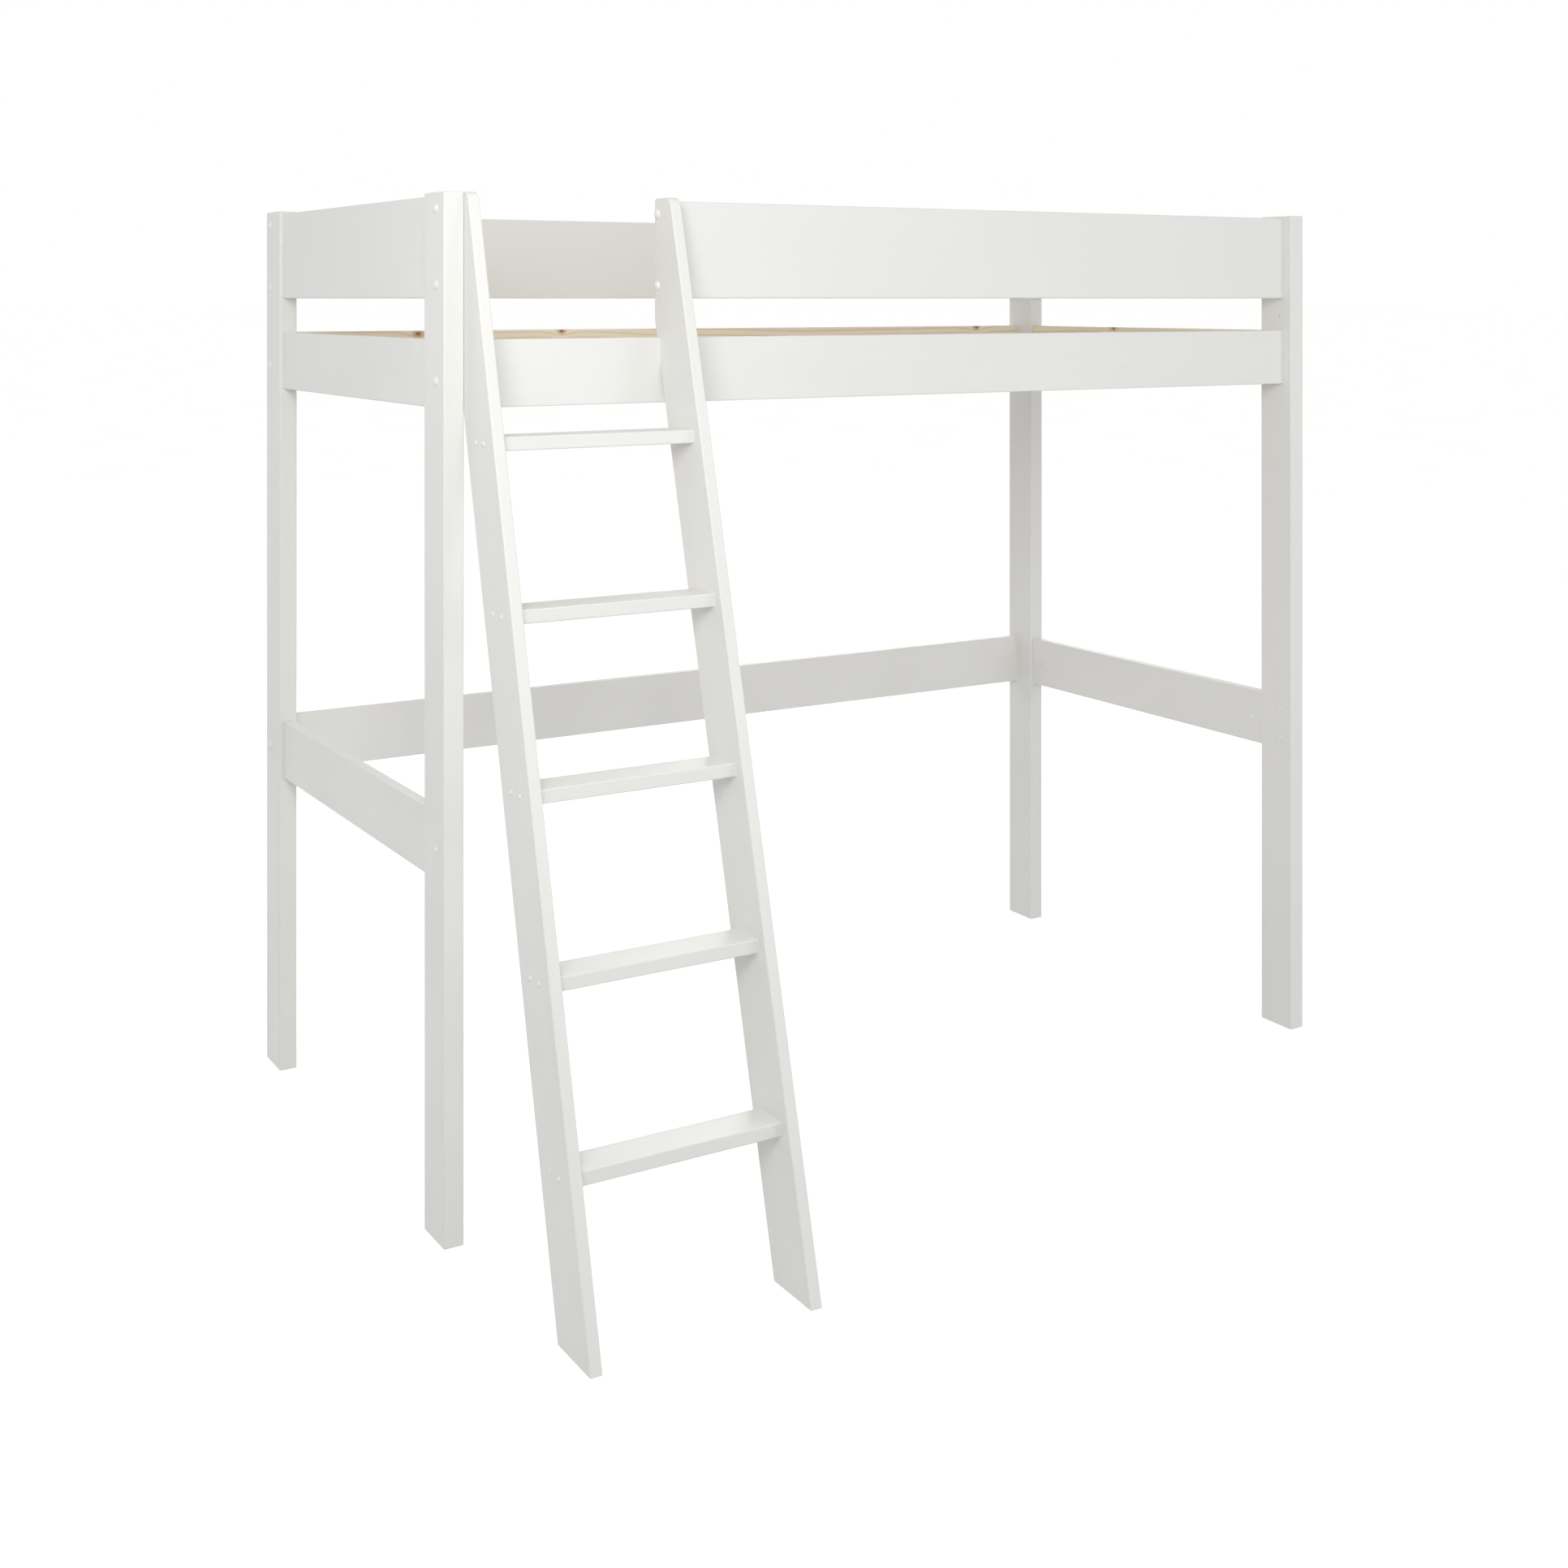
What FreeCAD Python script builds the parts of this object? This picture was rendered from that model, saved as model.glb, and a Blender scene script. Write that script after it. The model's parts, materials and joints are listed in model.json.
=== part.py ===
"""Loft bed with a slanted ladder, in painted pine and board, bolted together on a slatted base.

Millimetres. X runs along the bed, Y from the ladder foot to the wall side, Z up. The bed is laid out
from the floor corner of its front left post, and every piece is moved at the end so that the origin
is the centre of the whole footprint, on the floor.
"""
import FreeCAD, Part
import math
import os

# ---------------------------------------------------------------- driving dimensions
MATTRESS_LENGTH = 2000.0      # the mattress lies between the posts' inner faces
MATTRESS_WIDTH = 900.0
MATTRESS_SIDE_PLAY = 10.0     # total play between the front and back boards

BOARD = 22.0                  # thickness of every rail, panel, brace and stringer
POST_THICKNESS = 38.0         # along X
POST_DEPTH = 90.0             # along Y
POST_HEIGHT = 1825.0
FRONT_RECESS = 23.0           # front boards behind the front posts' front faces
BACK_RECESS = 16.0            # back boards in front of the back posts' rear faces
END_RECESS = 8.0              # end boards inside the posts' outer faces

GUARD_HEIGHT = 180.0
GUARD_DROP = 5.0              # tops of the guards below the tops of the posts
GUARD_GAP = 72.0              # between a guard and the rail below it
RAIL_HEIGHT = 120.0
BRACE_HEIGHT = 120.0
BRACE_BOTTOM = 622.0          # floor to the underside of the lower braces

POST_ROUNDING = 3.0
BOARD_ROUNDING = 2.5
PANEL_ROUNDING = 3.5

LADDER_ANGLE = 14.5           # of the stringers, from upright
STRINGER_WIDTH = 112.0        # square to the slanted edges
LADDER_CLEAR_WIDTH = 378.0    # between the two stringers
LADDER_KINK = 38.0            # height of the stringers' bend below the guards' undersides
STRINGER_FRONT_ROUNDING = 18.0
STRINGER_BACK_ROUNDING = 6.0
RUNG_COUNT = 5
RUNG_FIRST = 261.0            # floor to the middle of the lowest rung
RUNG_TOP_DROP = 55.0          # middle of the top rung below the side rail's underside
RUNG_THICKNESS = 24.0
RUNG_DEPTH = 70.0
RUNG_SCREW_SPACING = 33.0

BEARER_WIDTH = 25.0
BEARER_HEIGHT = 35.0
BEARER_LIFT = 5.0             # bearers above the side rails' undersides
BEARER_END_GAP = 2.0          # bearer ends to the posts or end rails, whichever come first
BEARER_SCREW_COUNT = 7
SLAT_COUNT = 15
SLAT_WIDTH = 68.0
SLAT_THICKNESS = 18.0
SLAT_SIDE_GAP = 3.0           # slat ends to the side rails
SLAT_END_GAP = 6.0            # first and last slat to the posts' inner faces
STRAP_WIDTH = 20.0
STRAP_THICKNESS = 1.0
STRAP_INSET = 150.0           # strap centre lines from the side rails
STAPLE_LENGTH = 11.0
STAPLE_WIRE = 0.7

BOLT_EDGE = 24.0              # guard bolts from the guards' long edges
RAIL_BOLT_RISE = 48.0         # side rail bolts above the rails' undersides
DOWEL_SPREAD = 34.0           # dowels either side of the middle of a rail or brace
BOLT_RADIUS = 3.0
BOLT_HEAD_RADIUS = 6.5
BOLT_HEAD_HEIGHT = 4.0
COUNTERBORE = 8.0             # depth of the bolt head seats
NUT_RADIUS = 5.0
NUT_LENGTH = 14.0
NUT_INSET = 40.0              # barrel nuts from the board ends
BOLT_PAST_NUT = 6.0
INSERT_NUT_LENGTH = 14.0
DOWEL_RADIUS = 4.0
DOWEL_IN_POST = 15.0
DOWEL_IN_BOARD = 25.0
PILOT_RADIUS = 1.5
PILOT_DEPTH = 6.0
PILOT_DROP = 40.0             # pilot holes below the guards' undersides

CAM_INSET = 34.0              # cam fittings from the ends of the end boards
CAM_RADIUS = 7.5
CAM_DEPTH = 15.0
CAM_COVER_RADIUS = 8.5
CAM_COVER_THICKNESS = 1.5
CAM_BOLT_RADIUS = 3.0
CAM_BOLT_HEAD_RADIUS = 3.5
CAM_BOLT_HEAD_LENGTH = 4.0
CAM_BOLT_THREAD = 11.0

SCREW_RADIUS = 2.0
SCREW_HEAD_RADIUS = 4.0
SCREW_HEAD_HEIGHT = 3.0
SCREW_BITE = 13.0             # slat and bearer screws in the second piece
RUNG_SCREW_RADIUS = 2.5
RUNG_SCREW_HEAD_RADIUS = 4.5
RUNG_SCREW_BITE = 42.0
RUNG_SCREW_SEAT = 6.0
HOOK_SCREW_BITE = 28.0
HOOK_SCREW_DROP = 43.0        # ladder hook screws below the side rail's top

CAP_DIAMETER = 18.0           # domed covers over the frame bolts
CAP_HEIGHT = 5.5
PLUG_DIAMETER = 12.0          # domed covers over unused holes
PLUG_HEIGHT = 3.5
RUNG_CAP_DIAMETER = 10.0      # domed covers over rung screws
RUNG_CAP_HEIGHT = 3.0
CAP_STEM = 3.0
FIT = 0.1                     # radial clearance of every pin, nut, screw and stem in its hole

# ---------------------------------------------------------------- derived places
LENGTH = MATTRESS_LENGTH + 2 * POST_THICKNESS
INNER_LEFT = POST_THICKNESS
INNER_RIGHT = LENGTH - POST_THICKNESS
FRONT_FACE = FRONT_RECESS
FRONT_MIDDLE = FRONT_RECESS + BOARD / 2
FRONT_INNER = FRONT_RECESS + BOARD
BACK_INNER = FRONT_INNER + MATTRESS_WIDTH + MATTRESS_SIDE_PLAY
BACK_MIDDLE = BACK_INNER + BOARD / 2
BACK_FACE = BACK_INNER + BOARD
WIDTH = BACK_FACE + BACK_RECESS
END_START = POST_DEPTH
END_LENGTH = WIDTH - 2 * POST_DEPTH

GUARD_TOP = POST_HEIGHT - GUARD_DROP
GUARD_BOTTOM = GUARD_TOP - GUARD_HEIGHT
RAIL_TOP = GUARD_BOTTOM - GUARD_GAP
RAIL_BOTTOM = RAIL_TOP - RAIL_HEIGHT
BRACE_MIDDLE = BRACE_BOTTOM + BRACE_HEIGHT / 2
GUARD_BOLTS = (GUARD_BOTTOM + BOLT_EDGE, GUARD_TOP - BOLT_EDGE)
RAIL_BOLT = RAIL_BOTTOM + RAIL_BOLT_RISE

LADDER_SLOPE = math.tan(math.radians(LADDER_ANGLE))
STRINGER_RUN = STRINGER_WIDTH / math.cos(math.radians(LADDER_ANGLE))
KINK_HEIGHT = GUARD_BOTTOM - LADDER_KINK
STRINGER_LEFT_X = INNER_LEFT
STRINGER_RIGHT_X = STRINGER_LEFT_X + BOARD + LADDER_CLEAR_WIDTH
FRONT_GUARD_X = STRINGER_RIGHT_X + BOARD
RUNG_PITCH = (RAIL_BOTTOM - RUNG_TOP_DROP - RUNG_FIRST) / (RUNG_COUNT - 1)

BEARER_TOP = RAIL_BOTTOM + BEARER_LIFT + BEARER_HEIGHT
SLAT_TOP = BEARER_TOP + SLAT_THICKNESS
SLAT_START = INNER_LEFT + SLAT_END_GAP
SLAT_PITCH = (MATTRESS_LENGTH - 2 * SLAT_END_GAP - SLAT_WIDTH) / (SLAT_COUNT - 1)

RIGHT = FreeCAD.Vector(1, 0, 0)
LEFT = FreeCAD.Vector(-1, 0, 0)
BACK = FreeCAD.Vector(0, 1, 0)
FRONT = FreeCAD.Vector(0, -1, 0)
UP = FreeCAD.Vector(0, 0, 1)
DOWN = FreeCAD.Vector(0, 0, -1)

pieces = {}                   # node name -> the solids of that node
holes = {}                    # node name -> the tools that are cut from it


# ---------------------------------------------------------------- helpers
def point(x, y, z):
    return FreeCAD.Vector(x, y, z)


def add(node, *solids):
    pieces.setdefault(node, []).extend(solids)


def drill(nodes, *tools):
    for node in nodes:
        holes.setdefault(node, []).extend(tools)


def stringer_back(z):
    """Y of the stringers' slanted back edge at height z."""
    return FRONT_INNER - LADDER_SLOPE * (KINK_HEIGHT - z)


def stringer_front(z):
    """Y of the stringers' slanted front edge at height z."""
    return stringer_back(z) - STRINGER_RUN


def round_bar(start, direction, radius, length):
    return Part.makeCylinder(radius, length, start, direction)


def long_edges(shape, direction):
    """The straight edges that run along a direction."""
    found = []
    for edge in shape.Edges:
        span = edge.Vertexes[-1].Point - edge.Vertexes[0].Point
        if span.Length > 0 and abs(abs(span.normalize().dot(direction)) - 1) < 1e-6:
            found.append(edge)
    return found


def board(x, y, z, size_x, size_y, size_z, direction, rounding):
    """A rectangular board whose long edges, along direction, are rounded."""
    shape = Part.makeBox(size_x, size_y, size_z, point(x, y, z))
    return shape.makeFillet(rounding, long_edges(shape, direction))


def dome(seat, direction, diameter, height):
    """A shallow domed disc that stands on seat and points along direction."""
    radius = (diameter ** 2 / 4 + height ** 2) / (2 * height)
    centre = seat - direction * (radius - height)
    rim = math.degrees(math.asin((radius - height) / radius))
    return Part.makeSphere(radius, centre, direction, rim, 90, 360)


def cap(seat, direction, diameter, height, stem_radius, stem_length=CAP_STEM):
    """A domed cap with a stem that plugs the hole behind it."""
    head = dome(seat, direction, diameter, height)
    stem = round_bar(seat, -direction, stem_radius, stem_length)
    return head.fuse(stem).removeSplitter()


def bolt(head_face, direction, length):
    """A flat-headed bolt: head_face is the outer face of its head, length is the shank's."""
    head = round_bar(head_face, direction, BOLT_HEAD_RADIUS, BOLT_HEAD_HEIGHT)
    socket = round_bar(head_face, direction, BOLT_RADIUS * 0.7, BOLT_HEAD_HEIGHT * 0.6)
    shank = round_bar(head_face + direction * BOLT_HEAD_HEIGHT, direction, BOLT_RADIUS, length)
    return head.cut(socket).fuse(shank).removeSplitter()


def screw(head_face, direction, length, radius=SCREW_RADIUS, head_radius=SCREW_HEAD_RADIUS):
    """A countersunk wood screw: head_face is the outer face of its head, length is overall."""
    head = Part.makeCone(head_radius, radius, SCREW_HEAD_HEIGHT, head_face, direction)
    shank_start = head_face + direction * SCREW_HEAD_HEIGHT
    shank = round_bar(shank_start, direction, radius, length - SCREW_HEAD_HEIGHT)
    return head.fuse(shank).removeSplitter()


def screw_hole(head_face, direction, length, radius=SCREW_RADIUS, head_radius=SCREW_HEAD_RADIUS):
    """The hole that such a screw fills."""
    head = Part.makeCone(head_radius + FIT, radius + FIT, SCREW_HEAD_HEIGHT, head_face, direction)
    return head.fuse(round_bar(head_face, direction, radius + FIT, length + FIT))


# ---------------------------------------------------------------- fixings
def bolt_seat(nodes, face, direction):
    """Counterbore in the outer face of a post or stringer, for a bolt head and its cap."""
    drill(nodes, round_bar(face, direction, BOLT_HEAD_RADIUS + FIT, COUNTERBORE))


def bolt_cap(node, face, direction):
    add(node, cap(face, -direction, CAP_DIAMETER, CAP_HEIGHT, BOLT_HEAD_RADIUS))


def barrel_bolt(outer_node, outer_face, outer_thickness, board_node, nut_face, direction, names):
    """A bolt through a post or stringer into a barrel nut inside the end of a board.

    outer_face is where the bolt enters, direction is its way in, and nut_face is the direction from
    the board's middle to the face that the nut's blind hole opens in.
    """
    bolt_node, nut_node, cap_node = names
    reach = outer_thickness + NUT_INSET + BOLT_PAST_NUT
    drill([outer_node, board_node], round_bar(outer_face, direction, BOLT_RADIUS + FIT, reach + FIT))
    bolt_seat([outer_node], outer_face, direction)
    head_face = outer_face + direction * (COUNTERBORE - BOLT_HEAD_HEIGHT)
    add(bolt_node, bolt(head_face, direction, reach - COUNTERBORE))
    bolt_cap(cap_node, outer_face, direction)
    nut_middle = outer_face + direction * (outer_thickness + NUT_INSET)
    nut_start = nut_middle - nut_face * (NUT_LENGTH / 2)
    nut = round_bar(nut_start, nut_face, NUT_RADIUS, NUT_LENGTH)
    thread = round_bar(outer_face, direction, BOLT_RADIUS + FIT, reach + FIT)
    add(nut_node, nut.cut(thread))
    blind_depth = NUT_LENGTH / 2 + BOARD / 2
    drill([board_node], round_bar(nut_start, nut_face, NUT_RADIUS + FIT, blind_depth))


def dowel(post_node, board_node, joint_face, direction):
    """A wooden dowel across the joint face between a post and a board's end."""
    start = joint_face - direction * DOWEL_IN_POST
    length = DOWEL_IN_POST + DOWEL_IN_BOARD
    add("frame_dowels", round_bar(start, direction, DOWEL_RADIUS, length))
    drill([post_node, board_node], round_bar(start, direction, DOWEL_RADIUS + FIT, length))


def cam_fitting(post_node, board_node, joint_face, direction, inner):
    """A cam fitting that draws an end board against a post.

    joint_face is on the post, at the middle of the board's thickness; direction runs into the board,
    and inner points from the board's middle to its inner face.
    """
    centre = joint_face + direction * CAM_INSET
    surface = centre + inner * (BOARD / 2)
    cam_start = surface - inner * (CAM_COVER_THICKNESS + CAM_DEPTH)
    cam = round_bar(cam_start, inner, CAM_RADIUS, CAM_DEPTH)
    slot_end = centre + direction * CAM_BOLT_HEAD_LENGTH
    slot = round_bar(slot_end, -direction, CAM_BOLT_HEAD_RADIUS + FIT, CAM_INSET + CAM_BOLT_HEAD_LENGTH)
    add("end_cams", cam.cut(slot))
    bore = round_bar(cam_start, inner, CAM_RADIUS + FIT, CAM_COVER_THICKNESS + CAM_DEPTH)
    cover_start = surface - inner * CAM_COVER_THICKNESS
    cover_seat = round_bar(cover_start, inner, CAM_COVER_RADIUS + FIT, CAM_COVER_THICKNESS)
    add("end_cam_covers", round_bar(cover_start, inner, CAM_COVER_RADIUS, CAM_COVER_THICKNESS + FIT))
    drill([board_node], bore, cover_seat, slot)
    thread_start = joint_face - direction * CAM_BOLT_THREAD
    shank_length = CAM_BOLT_THREAD + CAM_INSET - CAM_BOLT_HEAD_LENGTH / 2
    shank = round_bar(thread_start, direction, CAM_BOLT_RADIUS, shank_length)
    head_start = centre - direction * (CAM_BOLT_HEAD_LENGTH / 2)
    head = round_bar(head_start, direction, CAM_BOLT_HEAD_RADIUS, CAM_BOLT_HEAD_LENGTH)
    add("end_cam_bolts", shank.fuse(head).removeSplitter())
    drill([post_node], round_bar(thread_start, direction, CAM_BOLT_RADIUS + FIT, CAM_BOLT_THREAD))


# ---------------------------------------------------------------- frame
def make_posts():
    for depth_name, y in (("front", 0.0), ("back", WIDTH - POST_DEPTH)):
        for side_name, x in (("left", 0.0), ("right", INNER_RIGHT)):
            shape = Part.makeBox(POST_THICKNESS, POST_DEPTH, POST_HEIGHT, point(x, y, 0))
            add("post_%s_%s" % (depth_name, side_name), shape.makeFillet(POST_ROUNDING, shape.Edges))


def make_end_frames():
    levels = (
        ("end_guard", GUARD_BOTTOM, GUARD_HEIGHT, PANEL_ROUNDING, GUARD_BOLTS),
        ("end_rail", RAIL_BOTTOM, RAIL_HEIGHT, BOARD_ROUNDING, (RAIL_BOTTOM + RAIL_HEIGHT / 2,)),
        ("end_brace", BRACE_BOTTOM, BRACE_HEIGHT, BOARD_ROUNDING, (BRACE_MIDDLE,)),
    )
    sides = (("left", END_RECESS, RIGHT), ("right", LENGTH - END_RECESS - BOARD, LEFT))
    for side_name, x, inner in sides:
        for name, bottom, height, rounding, cam_levels in levels:
            node = "%s_%s" % (name, side_name)
            add(node, board(x, END_START, bottom, BOARD, END_LENGTH, height, BACK, rounding))
            ends = (("front", END_START, BACK), ("back", END_START + END_LENGTH, FRONT))
            for depth_name, y, direction in ends:
                post = "post_%s_%s" % (depth_name, side_name)
                for z in cam_levels:
                    cam_fitting(post, node, point(x + BOARD / 2, y, z), direction, inner)
                for z in dowel_levels(bottom, height, len(cam_levels)):
                    dowel(post, node, point(x + BOARD / 2, y, z), direction)


def dowel_levels(bottom, height, fixing_count):
    """One dowel in the middle of a guard, and one either side of a rail's or brace's middle."""
    middle = bottom + height / 2
    if fixing_count > 1:
        return (middle,)
    return (middle - DOWEL_SPREAD, middle + DOWEL_SPREAD)


def make_long_boards():
    """The boards between left and right posts, each bolted and dowelled to the posts it meets.

    Their barrel nuts go in from the rear face: the mattress side in front, the wall side at the back.
    """
    guard = (GUARD_BOTTOM, GUARD_HEIGHT, PANEL_ROUNDING, GUARD_BOLTS)
    rail = (RAIL_BOTTOM, RAIL_HEIGHT, BOARD_ROUNDING, (RAIL_BOLT,))
    brace = (BRACE_BOTTOM, BRACE_HEIGHT, BOARD_ROUNDING, (BRACE_MIDDLE,))
    rows = (
        ("back_guard", "back", BACK_INNER, INNER_LEFT, guard),
        ("back_side_rail", "back", BACK_INNER, INNER_LEFT, rail),
        ("back_brace", "back", BACK_INNER, INNER_LEFT, brace),
        ("front_side_rail", "front", FRONT_FACE, INNER_LEFT, rail),
        ("front_guard", "front", FRONT_FACE, FRONT_GUARD_X, guard),
    )
    for node, depth_name, y, start, (bottom, height, rounding, bolt_levels) in rows:
        add(node, board(start, y, bottom, INNER_RIGHT - start, BOARD, height, RIGHT, rounding))
        middle = y + BOARD / 2
        ends = [("right", LENGTH, LEFT)]
        if start == INNER_LEFT:
            ends.append(("left", 0.0, RIGHT))
        for side_name, outer_x, direction in ends:
            post = "post_%s_%s" % (depth_name, side_name)
            names = ("frame_bolts", "frame_barrel_nuts", "bolt_caps_%s" % side_name)
            for z in bolt_levels:
                face = point(outer_x, middle, z)
                barrel_bolt(post, face, POST_THICKNESS, node, BACK, direction, names)
            joint_x = outer_x + direction.x * POST_THICKNESS
            for z in dowel_levels(bottom, height, len(bolt_levels)):
                dowel(post, node, point(joint_x, middle, z), direction)


def make_unused_holes():
    """The posts are drilled alike, so the front ones have covered holes at the brace's height."""
    for side_name, outer_x, direction in (("left", 0.0, RIGHT), ("right", LENGTH, LEFT)):
        post = "post_front_%s" % side_name
        outer = point(outer_x, FRONT_MIDDLE, BRACE_MIDDLE)
        inner = outer + direction * POST_THICKNESS
        drill([post], round_bar(outer, direction, BOLT_RADIUS + FIT, POST_THICKNESS))
        add("hole_plugs", cap(outer, -direction, PLUG_DIAMETER, PLUG_HEIGHT, BOLT_RADIUS))
        add("hole_plugs", cap(inner, direction, PLUG_DIAMETER, PLUG_HEIGHT, BOLT_RADIUS))
        for offset in (-DOWEL_SPREAD, DOWEL_SPREAD):
            mouth = inner + UP * offset
            drill([post], round_bar(mouth, -direction, DOWEL_RADIUS + FIT, DOWEL_IN_POST))
            add("hole_plugs", cap(mouth, direction, PLUG_DIAMETER, PLUG_HEIGHT, DOWEL_RADIUS))
        for depth_name, y in (("front", FRONT_MIDDLE), ("back", BACK_MIDDLE)):
            start = point(outer_x, y, GUARD_BOTTOM - PILOT_DROP) + direction * POST_THICKNESS
            pilot = round_bar(start, -direction, PILOT_RADIUS, PILOT_DEPTH)
            drill(["post_%s_%s" % (depth_name, side_name)], pilot)


# ---------------------------------------------------------------- ladder
def stringer(x):
    """A plank hooked over the side rail: slanted in front, and upright behind above the bend."""
    notch_bottom = KINK_HEIGHT - (FRONT_INNER - FRONT_FACE) / LADDER_SLOPE
    top_front = stringer_front(POST_HEIGHT)
    corners = [
        point(x, stringer_front(0), 0),
        point(x, stringer_back(0), 0),
        point(x, FRONT_FACE, notch_bottom),
        point(x, FRONT_FACE, RAIL_TOP),
        point(x, stringer_back(RAIL_TOP), RAIL_TOP),
        point(x, FRONT_INNER, KINK_HEIGHT),
        point(x, FRONT_INNER, POST_HEIGHT),
        point(x, top_front, POST_HEIGHT),
    ]
    outline = Part.makePolygon(corners + corners[:1])
    plank = Part.Face(outline).extrude(RIGHT * BOARD)
    cross_edges = long_edges(plank, RIGHT)
    top_front_edges = [edge for edge in cross_edges if same_place(edge, top_front, POST_HEIGHT)]
    plank = plank.makeFillet(STRINGER_FRONT_ROUNDING, top_front_edges)
    cross_edges = long_edges(plank, RIGHT)
    top_back_edges = [edge for edge in cross_edges if same_place(edge, FRONT_INNER, POST_HEIGHT)]
    plank = plank.makeFillet(STRINGER_BACK_ROUNDING, top_back_edges)
    slanted = FreeCAD.Vector(0, LADDER_SLOPE, 1).normalize()
    return plank.makeFillet(BOARD_ROUNDING, long_edges(plank, slanted))


def same_place(edge, y, z):
    place = edge.Vertexes[0].Point
    return abs(place.y - y) < 0.01 and abs(place.z - z) < 0.01


def make_ladder():
    stringers = (
        ("ladder_stringer_left", STRINGER_LEFT_X, STRINGER_LEFT_X, RIGHT),
        ("ladder_stringer_right", STRINGER_RIGHT_X, STRINGER_RIGHT_X + BOARD, LEFT),
    )
    for node, x, _, _ in stringers:
        add(node, stringer(x))
    rung_x = STRINGER_LEFT_X + BOARD
    for number in range(RUNG_COUNT):
        z = RUNG_FIRST + number * RUNG_PITCH
        middle = (stringer_front(z) + stringer_back(z)) / 2
        rung = "ladder_rung_%d" % (number + 1)
        front = middle - RUNG_DEPTH / 2
        bottom = z - RUNG_THICKNESS / 2
        sizes = (LADDER_CLEAR_WIDTH, RUNG_DEPTH, RUNG_THICKNESS)
        add(rung, board(rung_x, front, bottom, *sizes, RIGHT, BOARD_ROUNDING))
        for node, _, outer_x, direction in stringers:
            for offset in (-RUNG_SCREW_SPACING / 2, RUNG_SCREW_SPACING / 2):
                rung_screw(node, rung, point(outer_x, middle + offset, z), direction)


def rung_screw(stringer_node, rung_node, face, direction):
    """A screw through a stringer into the end of a rung, under a small cap."""
    seat = round_bar(face, direction, RUNG_SCREW_HEAD_RADIUS + FIT, RUNG_SCREW_SEAT)
    head_face = face + direction * (RUNG_SCREW_SEAT - SCREW_HEAD_HEIGHT)
    length = BOARD - RUNG_SCREW_SEAT + SCREW_HEAD_HEIGHT + RUNG_SCREW_BITE
    shank_hole = round_bar(head_face, direction, RUNG_SCREW_RADIUS + FIT, length + FIT)
    drill([stringer_node], seat)
    drill([stringer_node, rung_node], shank_hole)
    head = round_bar(head_face, direction, RUNG_SCREW_HEAD_RADIUS, SCREW_HEAD_HEIGHT)
    shank = round_bar(head_face, direction, RUNG_SCREW_RADIUS, length)
    add("rung_screws", head.fuse(shank).removeSplitter())
    stem = RUNG_SCREW_SEAT - SCREW_HEAD_HEIGHT
    add("rung_screw_caps",
        cap(face, -direction, RUNG_CAP_DIAMETER, RUNG_CAP_HEIGHT, RUNG_SCREW_HEAD_RADIUS, stem))


def fix_ladder():
    """Left stringer to its post, right stringer to the front guard, and both to the side rail."""
    for z in GUARD_BOLTS:
        face = point(0, FRONT_MIDDLE, z)
        length = POST_THICKNESS - COUNTERBORE + INSERT_NUT_LENGTH
        drill(["post_front_left"], round_bar(face, RIGHT, BOLT_RADIUS + FIT, POST_THICKNESS))
        bolt_seat(["post_front_left"], face, RIGHT)
        head_face = face + RIGHT * (COUNTERBORE - BOLT_HEAD_HEIGHT)
        add("ladder_post_bolts", bolt(head_face, RIGHT, length))
        bolt_cap("bolt_caps_left", face, RIGHT)
        nut_start = point(STRINGER_LEFT_X, FRONT_MIDDLE, z)
        nut = round_bar(nut_start, RIGHT, NUT_RADIUS, INSERT_NUT_LENGTH)
        nut_bore = round_bar(nut_start, RIGHT, BOLT_RADIUS + FIT, INSERT_NUT_LENGTH)
        add("ladder_insert_nuts", nut.cut(nut_bore))
        nut_hole = round_bar(nut_start, RIGHT, NUT_RADIUS + FIT, INSERT_NUT_LENGTH + FIT)
        drill(["ladder_stringer_left"], nut_hole)
        names = ("ladder_guard_bolts", "frame_barrel_nuts", "ladder_bolt_caps")
        entry = point(STRINGER_RIGHT_X, FRONT_MIDDLE, z)
        barrel_bolt("ladder_stringer_right", entry, BOARD, "front_guard", BACK, RIGHT, names)
    hook_level = RAIL_TOP - HOOK_SCREW_DROP
    for node, x in (("ladder_stringer_left", STRINGER_LEFT_X), ("ladder_stringer_right", STRINGER_RIGHT_X)):
        head_face = point(x + BOARD / 2, FRONT_INNER, hook_level)
        add("ladder_rail_screws", screw(head_face, FRONT, BOARD + HOOK_SCREW_BITE))
        drill(["front_side_rail", node], screw_hole(head_face, FRONT, BOARD + HOOK_SCREW_BITE))


# ---------------------------------------------------------------- slatted base
def make_bearers():
    start = max(END_RECESS + BOARD, POST_THICKNESS) + BEARER_END_GAP
    length = LENGTH - 2 * start
    bottom = RAIL_BOTTOM + BEARER_LIFT
    reach = BEARER_WIDTH + SCREW_BITE
    spacing = (length - 2 * SLAT_WIDTH) / (BEARER_SCREW_COUNT - 1)
    rows = (
        ("front", FRONT_INNER, FRONT, FRONT_INNER + BEARER_WIDTH),
        ("back", BACK_INNER - BEARER_WIDTH, BACK, BACK_INNER - BEARER_WIDTH),
    )
    for name, y, outward, open_face in rows:
        node = "slat_bearer_%s" % name
        rail = "%s_side_rail" % name
        add(node, Part.makeBox(length, BEARER_WIDTH, BEARER_HEIGHT, point(start, y, bottom)))
        for number in range(BEARER_SCREW_COUNT):
            x = start + SLAT_WIDTH + number * spacing
            head_face = point(x, open_face, bottom + BEARER_HEIGHT / 2)
            add("bearer_screws", screw(head_face, outward, reach))
            drill([node, rail], screw_hole(head_face, outward, reach))


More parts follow.
